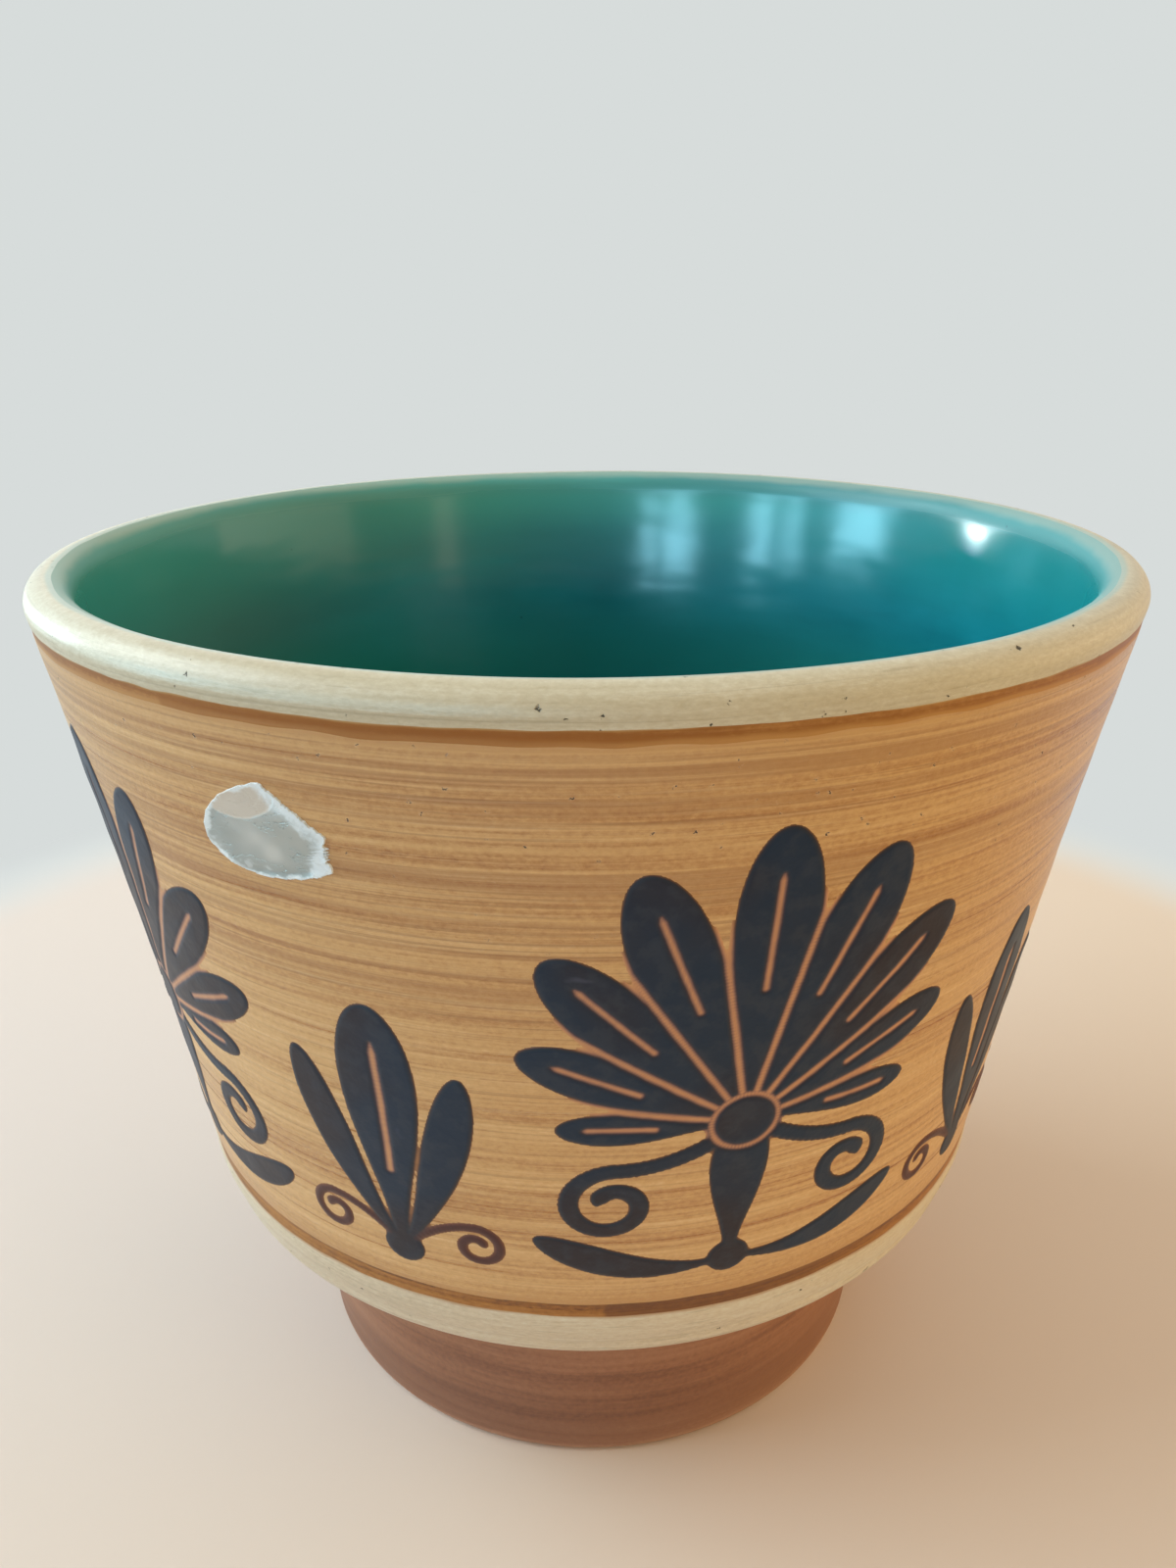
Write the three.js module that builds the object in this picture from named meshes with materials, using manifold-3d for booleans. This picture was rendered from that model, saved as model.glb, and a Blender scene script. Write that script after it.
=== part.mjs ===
// A glazed earthenware flowerpot, without a drain hole: a flared wall on a narrower foot.
// The fired clay carries bands of slip and glaze, a frieze of painted palmettes and lotus
// buds, and a small torn foil label. Every band is its own closed solid, bonded to the clay.
// Millimetres, +Z up. The origin is the middle of the base, on the surface that it stands on.
// Azimuth 0 is the front, along -Y, and grows towards +X.
import * as THREE from "three";
import { mergeVertices } from "three/addons/utils/BufferGeometryUtils.js";
import Module from "manifold-3d";

const wasm = await Module();
wasm.setup();

const { degToRad, lerp, smoothstep } = THREE.MathUtils;

// Driving dimensions of the pot.
const potHeight = 119;
const rimRadius = 70;
const wallThickness = 5.5;
const wallFlare = 12; // how much the wall widens from the lower painted line to the rim
const wallSag = 0.52; // how far the wall bows in from a straight cone
const footHeight = 31.7; // base to the underside of the body
const footInset = 12; // the foot's top, in from the wall at the lower painted line
const footTaper = 3; // how much the foot narrows towards the base
const neckRound = 4; // round between the foot and the body's underside
const shoulderRound = 3.5;
const shoulderDraft = 1.1; // how far the shoulder leans in below the lower painted line
const undersideLeast = 1; // flat that the rounds leave on the body's underside
const floorThickness = 7;
const floorRound = 6; // round between the floor and the well inside the foot
const ledgeRound = 5; // rounds of the step inside, above the foot
const baseRingWidth = 6.5;
const baseRecess = 2.5; // hollow under the base, inside the ring that it stands on
const baseBevel = 0.8; // bare clay bevel at the bottom of the foot

// The bands of slip and glaze.
const coat = 0.6;
const shoulderBandHeight = 8.5; // body's underside to the lower painted line
const lowerLineWidth = 2.1;
const upperLineWidth = 1.5;
const rimSkirt = 1.05; // widest part of the lip down to the upper painted line
const lipTurn = 105; // degrees round the lip where the rim's glaze meets the inner glaze

// The frieze: palmettes and lotus buds take turns round the wall.
const motifPairs = 5;
const firstPalmetteAzimuth = degToRad(15);
const friezeBottomMargin = 3.7; // lower line to the motifs' feet
const friezeTopMargin = 9.7; // palmettes' tips to the upper line
const motifGap = 3.2; // least gap between a palmette and a bud
const motifThickness = 0.4;
const motifBond = 0.1; // clearance under a motif or the label
const motifRoot = 2.4; // radius of the round knot at a motif's foot
const heartHeight = 23; // a palmette's foot to the middle of its fan
const heartRadius = 4;
const fanPetals = 9;
const fanSpread = degToRad(88); // lean of the outermost petals
const fanInset = 2; // the outermost petals' tips, in from the base leaves' tips
const petalGap = 1.1;
const stemWidth = 6.5;
const voluteReach = 13.5; // stem to the middle of a volute
const voluteHeight = 12.5;
const voluteRadius = 5.2;
const voluteStroke = 2;
const baseLeafWidth = 4;
const baseLeafHeight = 7;
const budDrop = 22; // a bud's tip, below the palmettes' tips
const budWidth = 9;
const sepalDrop = 7; // the sepals' tips, below the bud's tip
const sepalReach = 9.5;
const sepalWidth = 5;
const sepalBendReach = 6; // guide point of a sepal's bend
const sepalBendHeight = 12;
const tendrilReach = 9; // stem to the middle of a curl
const tendrilHeight = 4.6;
const tendrilRadius = 3;
const tendrilStroke = 1.1;

// The foil label, an oval torn along a slanted line, so that its upper right is gone.
const labelAzimuth = degToRad(-24.7);
const labelDrop = 11; // upper line to the middle of the oval
const labelLength = 20.2;
const labelWidth = 10.3;
const labelTilt = degToRad(14);
const labelThickness = 0.2;
const tearTipReach = 5; // middle of the oval to the tip that the tear leaves
const tearTipDrop = 1.3;
const tearEndReach = 3.5; // where the tear meets the lower edge
const tearDepth = 0.4;
const tearTeeth = 4;

// Fineness of the facets.
const roundSegments = 48;
const wallRows = 2;
const arcRows = 2;
const lipRows = 3;
const petalSteps = 6;
const scrollSteps = 18;
const discSteps = 4;
const ovalSteps = 16;

const materialOf = (color, roughness) => new THREE.MeshStandardMaterial({ color, roughness, metalness: 0 });
const firedClay = materialOf(0x9a6a50, 0.9);
const turquoiseGlaze = materialOf(0x0c7c7c, 0.18);
const creamGlaze = materialOf(0xd8cba8, 0.45);
const honeySlip = materialOf(0xc2935a, 0.5);
const brownOxide = materialOf(0x8a5526, 0.5);
const footSlip = materialOf(0x8a5a44, 0.6);
const cobaltGlaze = materialOf(0x252f3d, 0.35);
const silverFoil = new THREE.MeshStandardMaterial({ color: 0xc9ced0, roughness: 0.35, metalness: 0.6 });

// Heights and radii that follow from the driving dimensions.
const lipRadius = wallThickness / 2;
const lipHeight = potHeight - lipRadius; // widest part of the lip
const upperLineTop = lipHeight - rimSkirt;
const upperLineBottom = upperLineTop - upperLineWidth;
const lowerLineBottom = footHeight + shoulderBandHeight;
const lowerLineTop = lowerLineBottom + lowerLineWidth;
const wallLowRadius = rimRadius - wallFlare;
const footTopRadius = wallLowRadius - footInset;
const footRadius = footTopRadius - footTaper;

// Profile helpers. A profile point is (radius, height).
const point = (radius, height) => new THREE.Vector2(radius, height);

function arc(centre, radius, fromDegrees, toDegrees, rows) {
  const points = [];
  for (let i = 0; i <= rows; i++) {
    const angle = degToRad(lerp(fromDegrees, toDegrees, i / rows));
    points.push(point(centre.x + radius * Math.cos(angle), centre.y + radius * Math.sin(angle)));
  }
  return points;
}

// The profile moved sideways, to its right when positive as one walks along it.
function offset(profile, distance) {
  const sideOf = (a, b) => point(b.y - a.y, a.x - b.x).normalize();
  return profile.map((here, i) => {
    const before = sideOf(profile[Math.max(i - 1, 0)], profile[Math.max(i, 1)]);
    const after = i < profile.length - 1 ? sideOf(here, profile[i + 1]) : before;
    const side = before.clone().add(after).normalize();
    return here.clone().addScaledVector(side, distance / side.dot(after));
  });
}

// Outside radius of the wall at a height, and a stretch of its profile.
function wallRadius(height) {
  const share = (height - lowerLineBottom) / (lipHeight - lowerLineBottom);
  return lerp(wallLowRadius, rimRadius, share) - 4 * wallSag * share * (1 - share);
}

function wallBetween(low, high, rows) {
  const points = [];
  for (let i = 0; i <= rows; i++) {
    const height = lerp(low, high, i / rows);
    points.push(point(wallRadius(height), height));
  }
  return points;
}

// The finished surface in bands, walked up the outside, over the lip and down the inside.
// Each band starts where the one before it ends.
const overhang = footInset - shoulderDraft;
const roundLimit = (overhang - undersideLeast) / 2;
const shoulderFit = Math.min(shoulderRound, roundLimit);
const neckFit = Math.min(neckRound, roundLimit);
const neckCentre = point(footTopRadius + neckFit, footHeight - neckFit);
const shoulderCentre = point(wallLowRadius - shoulderDraft - shoulderFit, footHeight + shoulderFit);
const neck = arc(neckCentre, neckFit, 180, 90, arcRows);
const footBand = [point(footRadius, baseBevel), ...neck];
const shoulderBand = [
  neck[neck.length - 1],
  ...arc(shoulderCentre, shoulderFit, -90, 0, arcRows),
  point(wallLowRadius, lowerLineBottom),
];
const lowerLineBand = wallBetween(lowerLineBottom, lowerLineTop, 1);
const wallBand = wallBetween(lowerLineTop, upperLineBottom, wallRows);
const upperLineBand = wallBetween(upperLineBottom, upperLineTop, 1);
const lipCentre = point(rimRadius - lipRadius, lipHeight);
const lipInside = arc(lipCentre, lipRadius, lipTurn, 180, arcRows);
const rimBand = [
  point(wallRadius(upperLineTop), upperLineTop),
  ...arc(lipCentre, lipRadius, 0, 90, lipRows),
  lipInside[0],
];

const ledgeHeight = footHeight + wallThickness;
const ledgeFit = Math.min(ledgeRound, roundLimit);
const innerLowRadius = wallLowRadius - wallThickness;
const wellTopRadius = footTopRadius - wallThickness;
const wellLowRadius = footRadius - wallThickness;
const innerWall = wallBetween(ledgeHeight + ledgeFit, upperLineTop, wallRows).reverse();
const innerBand = [
  ...lipInside,
  ...innerWall.slice(0, -1).map((outside) => point(outside.x - wallThickness, outside.y)),
  ...arc(point(innerLowRadius - ledgeFit, ledgeHeight + ledgeFit), ledgeFit, 0, -90, arcRows),
  ...arc(point(wellTopRadius + ledgeFit, ledgeHeight - ledgeFit), ledgeFit, 90, 180, arcRows),
  ...arc(point(wellLowRadius - floorRound, floorThickness + floorRound), floorRound, 0, -90, arcRows),
  point(0, floorThickness),
];

const bandOrder = [footBand, shoulderBand, lowerLineBand, wallBand, upperLineBand, rimBand, innerBand];
const finished = [footBand[0]];
const bandStart = new Map();
for (const band of bandOrder) {
  bandStart.set(band, finished.length - 1);
  finished.push(...band.slice(1));
}

// The finished surface moved sideways; its end stays on the axis.
function movedSurface(distance) {
  const moved = offset(finished, distance);
  moved[moved.length - 1].x = 0;
  return moved;
}

function stretch(surface, band) {
  const start = bandStart.get(band);
  return surface.slice(start, start + band.length);
}

const clayFace = movedSurface(-coat);

// Solids of revolution.
function lathe(profile) {
  return new THREE.LatheGeometry(profile, roundSegments).rotateX(Math.PI / 2);
}

// A closed ring between two walks along the same band.
function shell(outside, inside) {
  return lathe([...outside, ...inside.reverse(), outside[0]]);
}

const coatOf = (band) => shell(stretch(finished, band), stretch(clayFace, band));

function clayBody() {
  const ringInner = footRadius - baseRingWidth;
  return lathe([
    point(0, baseRecess),
    point(ringInner - baseRecess, baseRecess),
    point(ringInner, 0),
    point(footRadius - baseBevel, 0),
    point(footRadius, baseBevel),
    ...clayFace,
  ]);
}

// Joining and cutting. Points that lie within the merge distance are one point, and flats
// that a cut has split, and that agree to the merge distance, are one flat again.
const mergeDistance = 1e-3;
function solidOf(geometry) {
  const bare = geometry.clone();
  bare.deleteAttribute("normal");
  bare.deleteAttribute("uv");
  const merged = mergeVertices(bare, mergeDistance);
  return new wasm.Manifold(
    new wasm.Mesh({
      numProp: 3,
      vertProperties: merged.attributes.position.array,
      triVerts: new Uint32Array(merged.index.array),
    }),
  );
}

function geometryOf(solid) {
  const mesh = solid.asOriginal().simplify(mergeDistance).getMesh();
  const geometry = new THREE.BufferGeometry();
  geometry.setAttribute("position", new THREE.BufferAttribute(mesh.vertProperties, 3));
  geometry.setIndex(new THREE.BufferAttribute(mesh.triVerts, 1));
  geometry.computeVertexNormals();
  return geometry;
}

// Painted shapes are drawn flat, in (across, up) from the foot of their motif, as brush
// strokes: a middle line with a half width that changes along it and runs out at the tip.
function stroke(middle, halfWidth, stations) {
  const nudge = 1e-3;
  const left = [];
  const right = [];
  for (const t of stations.slice(0, -1)) {
    const here = middle(t);
    const along = middle(t + nudge).sub(middle(Math.max(t - nudge, 0))).normalize();
    const half = halfWidth(t);
    left.push(point(here.x - along.y * half, here.y + along.x * half));
    right.unshift(point(here.x + along.y * half, here.y - along.x * half));
  }
  return new THREE.Shape([...left, middle(1), ...right]);
}

const evenly = (steps) => Array.from({ length: steps + 1 }, (_, i) => i / steps);
const closerToTip = (t) => 1 - (1 - t) * (1 - t);

// A petal has a narrow root, is widest at its belly and ends in a round tip.
const petalBelly = 0.72;
const petalRoot = 0.18;
function petal(middle, width) {
  const halfWidth = (t) => {
    const swell = lerp(petalRoot, 1, smoothstep(t, 0, petalBelly));
    const towardsTip = Math.max(t - petalBelly, 0) / (1 - petalBelly);
    return (width / 2) * swell * Math.sqrt(1 - towardsTip * towardsTip);
  };
  return stroke(middle, halfWidth, evenly(petalSteps).map(closerToTip));
}

// A brush line keeps its width and runs out quickly at the tip.
const lineRunOut = 12;
function line(middle, width) {
  const halfWidth = (t) => (width / 2) * Math.min(1, lineRunOut * (1 - t));
  return stroke(middle, halfWidth, evenly(scrollSteps));
}

function disc(centre, radius) {
  const shape = new THREE.Shape();
  shape.absarc(centre.x, centre.y, radius, 0, 2 * Math.PI);
  return shape;
}

function curved(from, control, to) {
  const curve = new THREE.QuadraticBezierCurve(from, control, to);
  return (t) => curve.getPoint(t);
}

// A stalk that leaves a root, passes over a centre and winds in round it, clockwise.
const scrollTurns = 1.2;
const scrollEye = 0.3; // share of the radius left at the end of the scroll
const stalkShare = 0.3;
function scroll(root, centre, radius) {
  const top = point(centre.x, centre.y + radius);
  const stalk = curved(root, point((root.x + top.x) / 2, top.y), top);
  return (t) => {
    if (t < stalkShare) return stalk(t / stalkShare);
    const share = (t - stalkShare) / (1 - stalkShare);
    const turn = share * scrollTurns * 2 * Math.PI;
    const reach = radius * lerp(1, scrollEye, share);
    return point(centre.x + reach * Math.sin(turn), centre.y + reach * Math.cos(turn));
  };
}

const mirrored = (middle) => (t) => {
  const right = middle(t);
  return point(-right.x, right.y);
};

const friezeBottom = lowerLineTop + friezeBottomMargin;
const palmetteHeight = upperLineBottom - friezeTopMargin - friezeBottom;
const friezeRadius = wallRadius(friezeBottom); // where the motifs are closest together
const motifPitch = (2 * Math.PI) / motifPairs;
const budReach = tendrilReach + tendrilRadius + tendrilStroke / 2;
const baseLeafReach = (friezeRadius * motifPitch) / 2 - budReach - motifGap;
const knot = point(0, motifRoot);
const heart = point(0, heartHeight);

// The fan's petals start inside the heart, each longer the more upright it stands.
function fan() {
  const pairs = (fanPetals - 1) / 2;
  const pitch = fanSpread / pairs;
  const rootReach = heartRadius / 2;
  const shapes = [];
  for (let i = -pairs; i <= pairs; i++) {
    const lean = pitch * i;
    const upright = Math.cos(((i / pairs) * Math.PI) / 2);
    const length = lerp(baseLeafReach - fanInset, palmetteHeight - heartHeight, upright);
    const tip = point(heart.x + length * Math.sin(lean), heart.y + length * Math.cos(lean));
    const root = heart.clone().lerp(tip, rootReach / length);
    const width = 2 * Math.tan(pitch / 2) * petalBelly * length - petalGap;
    shapes.push(petal((t) => root.clone().lerp(tip, t), width));
  }
  return shapes;
}

function palmetteShapes() {
  const volute = scroll(heart, point(voluteReach, voluteHeight), voluteRadius);
  const leaf = curved(knot, point(baseLeafReach / 2, 0), point(baseLeafReach, baseLeafHeight));
  const stem = (t) => knot.clone().lerp(heart, t);
  return [
    ...fan(),
    disc(heart, heartRadius),
    disc(knot, motifRoot),
    petal(stem, stemWidth),
    line(volute, voluteStroke),
    line(mirrored(volute), voluteStroke),
    petal(leaf, baseLeafWidth),
    petal(mirrored(leaf), baseLeafWidth),
  ];
}

function budShapes() {
  const budTip = point(0, palmetteHeight - budDrop);
  const sepalTip = point(sepalReach, budTip.y - sepalDrop);
  const bud = (t) => knot.clone().lerp(budTip, t);
  const sepal = curved(knot, point(sepalBendReach, sepalBendHeight), sepalTip);
  const tendril = scroll(knot, point(tendrilReach, tendrilHeight), tendrilRadius);
  return [
    petal(bud, budWidth),
    disc(knot, motifRoot),
    petal(sepal, sepalWidth),
    petal(mirrored(sepal), sepalWidth),
    line(tendril, tendrilStroke),
    line(mirrored(tendril), tendrilStroke),
  ];
}

function labelShape() {
  const halfLength = labelLength / 2;
  const halfWidth = labelWidth / 2;
  const tearEnd = 2 * Math.PI - Math.acos(tearEndReach / halfLength);
  const outline = evenly(ovalSteps).map((t) => {
    const angle = lerp(Math.PI / 2, tearEnd, t);
    return point(halfLength * Math.cos(angle), halfWidth * Math.sin(angle));
  });
  const top = outline[0];
  const tip = point(tearTipReach, -tearTipDrop);
  const outward = point(top.y - tip.y, tip.x - top.x).normalize();
  for (let i = 0; i < 2 * tearTeeth; i++) {
    const spot = tip.clone().lerp(top, i / (2 * tearTeeth));
    outline.push(spot.addScaledVector(outward, i % 2 ? tearDepth : 0));
  }
  const middle = point(0, 0);
  return new THREE.Shape(outline.map((spot) => spot.rotateAround(middle, labelTilt)));
}

// A painted motif is cut from a thin skin on the wall's slip by a cutter of the motif's
// shape, which stands out from inside the wall.
const cutterStart = wallLowRadius / 2;
const cutterDepth = rimRadius + wallThickness - cutterStart;

function cutterOf(shapes) {
  const settings = { depth: cutterDepth, bevelEnabled: false, curveSegments: discSteps };
  const prisms = shapes.map((shape) => solidOf(new THREE.ExtrudeGeometry(shape, settings)));
  const joined = prisms.reduce((sum, next) => sum.add(next));
  return geometryOf(joined).rotateX(Math.PI / 2).translate(0, -cutterStart, 0);
}

function skin(thickness) {
  const outside = stretch(movedSurface(motifBond + thickness), wallBand);
  const inside = stretch(movedSurface(motifBond), wallBand);
  return solidOf(shell(outside, inside));
}

function painted(cutter, azimuth, height, onSkin) {
  const placed = cutter.clone().rotateZ(azimuth).translate(0, 0, height);
  return geometryOf(onSkin.intersect(solidOf(placed)));
}

const flowerpot = new THREE.Group();

function addPiece(name, geometry, material) {
  const piece = new THREE.Mesh(geometry, material);
  piece.name = name;
  flowerpot.add(piece);
}

addPiece("clay_body", clayBody(), firedClay);
addPiece("foot_slip", coatOf(footBand), footSlip);
addPiece("shoulder_glaze", coatOf(shoulderBand), creamGlaze);
addPiece("lower_line", coatOf(lowerLineBand), brownOxide);
addPiece("wall_slip", coatOf(wallBand), honeySlip);
addPiece("upper_line", coatOf(upperLineBand), brownOxide);
addPiece("rim_glaze", coatOf(rimBand), creamGlaze);
addPiece("inner_glaze", coatOf(innerBand), turquoiseGlaze);

const motifSkin = skin(motifThickness);
const palmetteCutter = cutterOf(palmetteShapes());
const budCutter = cutterOf(budShapes());
for (let i = 0; i < motifPairs; i++) {
  const azimuth = firstPalmetteAzimuth + i * motifPitch;
  const palmette = painted(palmetteCutter, azimuth, friezeBottom, motifSkin);
  const bud = painted(budCutter, azimuth - motifPitch / 2, friezeBottom, motifSkin);
  addPiece(`palmette_${i + 1}`, palmette, cobaltGlaze);
  addPiece(`lotus_bud_${i + 1}`, bud, cobaltGlaze);
}

const labelHeight = upperLineBottom - labelDrop;
const label = painted(cutterOf([labelShape()]), labelAzimuth, labelHeight, skin(labelThickness));
addPiece("foil_label", label, silverFoil);

export default flowerpot;
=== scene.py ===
"""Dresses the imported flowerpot: a clay body, its coats of slip and glaze, a painted
frieze of palmettes and lotus buds, and a bare, torn foil label. Lengths are in
millimetres up to the point where a mesh is made."""
import math

import bpy
import numpy as np
from mathutils import Matrix, Vector


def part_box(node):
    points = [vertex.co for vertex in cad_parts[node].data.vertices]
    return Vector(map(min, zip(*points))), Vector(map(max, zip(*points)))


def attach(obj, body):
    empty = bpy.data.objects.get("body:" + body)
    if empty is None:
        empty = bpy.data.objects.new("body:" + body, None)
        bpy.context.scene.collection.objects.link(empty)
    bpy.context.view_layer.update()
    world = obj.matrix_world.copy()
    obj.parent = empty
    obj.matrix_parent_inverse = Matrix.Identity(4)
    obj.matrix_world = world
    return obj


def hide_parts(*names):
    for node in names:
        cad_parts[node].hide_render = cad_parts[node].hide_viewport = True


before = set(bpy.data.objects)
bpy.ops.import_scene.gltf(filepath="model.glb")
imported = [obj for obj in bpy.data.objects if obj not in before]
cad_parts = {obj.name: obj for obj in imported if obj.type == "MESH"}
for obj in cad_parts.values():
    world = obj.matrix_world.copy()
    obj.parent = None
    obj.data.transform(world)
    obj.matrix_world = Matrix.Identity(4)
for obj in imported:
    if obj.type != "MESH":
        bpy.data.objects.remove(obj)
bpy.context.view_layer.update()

MM = 0.001
scene = bpy.context.scene


def edges_of(node):
    """Lowest and highest corner of a CAD node, in millimetres."""
    low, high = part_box(node)
    return np.array(low) / MM, np.array(high) / MM


# Sizes that the frame gives.
pot_height = edges_of("rim_glaze")[1][2]
rim_radius = edges_of("rim_glaze")[1][0]
upper_line_top = edges_of("rim_glaze")[0][2]
upper_line_bottom = edges_of("upper_line")[0][2]
lower_line_top = edges_of("wall_slip")[0][2]
lower_line_bottom = edges_of("lower_line")[0][2]
foot_height = edges_of("shoulder_glaze")[0][2]
wall_low_radius = edges_of("shoulder_glaze")[1][0]
base_bevel = edges_of("foot_slip")[0][2]

# Sizes of the profile that the boxes don't show, as in the part's source.
wall_thickness = 5.5
wall_sag = 0.52
foot_inset = 12
foot_taper = 3
neck_round = 4
shoulder_round = 3.5
shoulder_draft = 1.1
shoulder_bulge = 0.35
floor_thickness = 7
floor_round = 6
ledge_round = 5
base_ring_width = 6.5
base_recess = 2.5
base_round = 0.5
coat = 0.6
coat_slack = 0.02
lip_turn = 105

lip_radius = wall_thickness / 2
lip_height = pot_height - lip_radius
foot_top_radius = wall_low_radius - foot_inset
foot_radius = foot_top_radius - foot_taper

# Fineness of the meshes.
round_segments = 384
hidden_step = 3  # rows of a coat's face that shows for each row behind it
clay_step = 2.5
motif_cell = 0.2
label_cell = 0.12
sharp_angle = math.radians(50)


# The finished surface, walked up the outside, over the lip and down the inside.
def wall_radius(height):
    share = (height - lower_line_bottom) / (lip_height - lower_line_bottom)
    straight = wall_low_radius + (rim_radius - wall_low_radius) * share
    return straight - 4 * wall_sag * share * (1 - share)


def line(start, end, step=1.0):
    count = max(2, int(math.dist(start, end) / step) + 1)
    share = np.linspace(0, 1, count)[:, None]
    return np.array(start) * (1 - share) + np.array(end) * share


def arc(centre, radius, start, end, rows=16):
    angle = np.radians(np.linspace(start, end, rows + 1))
    across = centre[0] + radius * np.cos(angle)
    return np.stack([across, centre[1] + radius * np.sin(angle)], 1)


def wall(low, high, inset=0.0, step=1.0):
    count = max(2, int(abs(high - low) / step) + 1)
    height = np.linspace(low, high, count)
    return np.stack([wall_radius(height) - inset, height], 1)


def bulged(points, amount):
    """The stretch of profile bent outwards, most at its middle."""
    share = np.linspace(0, 1, len(points))
    bent = points.copy()
    bent[:, 0] += 4 * amount * share * (1 - share)
    return bent


neck_centre = (foot_top_radius + neck_round, foot_height - neck_round)
shoulder_edge = wall_low_radius - shoulder_draft
shoulder_centre = (shoulder_edge - shoulder_round, foot_height + shoulder_round)
lip_centre = (rim_radius - lip_radius, lip_height)
ledge_height = foot_height + wall_thickness
inner_low = wall_low_radius - wall_thickness
well_top = foot_top_radius - wall_thickness
well_low = foot_radius - wall_thickness
floor_edge = (well_low - floor_round, floor_thickness + floor_round)

profile_bands = {
    "foot": [
        line((foot_radius, base_bevel), (foot_top_radius, neck_centre[1])),
        arc(neck_centre, neck_round, 180, 90),
    ],
    "shoulder": [
        line((neck_centre[0], foot_height), (shoulder_centre[0], foot_height)),
        arc(shoulder_centre, shoulder_round, -90, 0),
        bulged(line((shoulder_edge, shoulder_centre[1]),
                    (wall_low_radius, lower_line_bottom), 0.3), shoulder_bulge),
    ],
    "lower_line": [wall(lower_line_bottom, lower_line_top, step=0.2)],
    "wall": [wall(lower_line_top, upper_line_bottom)],
    "upper_line": [wall(upper_line_bottom, upper_line_top, step=0.2)],
    "rim": [
        wall(upper_line_top, lip_height, step=0.2),
        arc(lip_centre, lip_radius, 0, lip_turn, 32),
    ],
    "inside": [
        arc(lip_centre, lip_radius, lip_turn, 180, 24),
        wall(upper_line_top, ledge_height + ledge_round, wall_thickness),
        arc((inner_low - ledge_round, ledge_height + ledge_round), ledge_round, 0, -90),
        arc((well_top + ledge_round, ledge_height - ledge_round), ledge_round, 90, 180),
        line((well_top, ledge_height - ledge_round), (well_low, floor_edge[1])),
        arc(floor_edge, floor_round, 0, -90),
        line((floor_edge[0], floor_thickness), (0, floor_thickness)),
    ],
}


def without_repeats(points):
    step = np.hypot(*np.diff(points, axis=0).T)
    return points[np.concatenate([[True], step > 1e-6])]


finished = without_repeats(np.concatenate(
    [part for band in profile_bands.values() for part in band]))
walk = np.concatenate([[0], np.cumsum(np.hypot(*np.diff(finished, axis=0).T))])
slope = np.gradient(finished, walk, axis=0)
slope /= np.hypot(*slope.T)[:, None]
facing = np.stack([slope[:, 1], -slope[:, 0]], 1)


def walk_at(spot):
    """How far along the finished surface a point of the profile lies."""
    return walk[np.argmin(np.hypot(*(finished - np.array(spot)).T))]


band_ends = {}
for band, parts in profile_bands.items():
    band_ends[band] = (walk_at(parts[0][0]), walk_at(parts[-1][-1]))

outside_wall = (walk >= band_ends["lower_line"][0]) & (walk <= band_ends["rim"][0])


def walk_at_height(height):
    return np.interp(height, finished[outside_wall, 1], walk[outside_wall])


# Unevenness of hand work. A ripple is periodic round the pot, from about -1 to 1.
def ripple(seed, slowest, fastest, fade=1.0):
    draw = np.random.default_rng(seed)
    waves = np.arange(slowest, fastest + 1)
    size = draw.uniform(0.4, 1, len(waves)) / waves**fade
    size /= np.sqrt((size**2).sum())
    phase = draw.uniform(0, 2 * math.pi, len(waves))

    def at(azimuth):
        azimuth = np.asarray(azimuth)[..., None]
        return (size * np.sin(waves * azimuth + phase)).sum(-1)

    return at


def smooth(value, low, high):
    share = np.clip((value - low) / (high - low), 0, 1)
    return share * share * (3 - 2 * share)


def near(place, middle, reach):
    return np.exp(-(((place - middle) / reach) ** 2))


slow_ripple = ripple(11, 2, 7)
hand_ripple = ripple(12, 3, 19, 0.5)
settled = 0.05  # how far the whole surface lies under the profile
turning_depth = 0.016
turning_pace = 0.83
hand_depth = 0.012
upper_groove_depth = 0.06
lower_groove_depth = 0.14
lip_depth = 0.06
lip_waver = 0.04
least_coat = 0.2
upper_groove = sum(band_ends["upper_line"]) / 2
lower_groove = sum(band_ends["lower_line"]) / 2
crest = walk_at((lip_centre[0], pot_height))


def relief(place, azimuth):
    """How far the surface lies off the profile: into the clay everywhere, so that the
    pot stays inside its box."""
    outer = 1 - smooth(place, crest, crest + 8)
    turning = turning_depth * np.sin(place * turning_pace + 2 * slow_ripple(azimuth))
    even = settled + outer * (turning + hand_depth * hand_ripple(azimuth + place / 20))
    lines = (upper_groove_depth * near(place, upper_groove, 0.65)
             + lower_groove_depth * near(place, lower_groove, 1.1))
    lip = near(place, crest, 3) * (lip_depth + lip_waver * slow_ripple(azimuth))
    return -np.clip(even + lines + lip, 0, coat - least_coat)


def point_at(radius, azimuth, height):
    """Azimuth 0 faces the front, and grows towards +X."""
    return np.stack([radius * np.sin(azimuth), -radius * np.cos(azimuth), height], -1)


def surface(place, azimuth, lift=0.0):
    """Points of the finished surface, at a distance along the profile and an azimuth."""
    off = relief(place, azimuth) + lift
    radius = np.interp(place, walk, finished[:, 0])
    height = np.interp(place, walk, finished[:, 1])
    outward = np.interp(place, walk, facing[:, 0])
    upward = np.interp(place, walk, facing[:, 1])
    radius = np.maximum(radius + outward * off, 0)
    return point_at(radius, azimuth, height + upward * off)


# Meshes.
def put_in_scene(name, data):
    placed = bpy.data.objects.new(name, data)
    scene.collection.objects.link(placed)
    return placed


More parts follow.
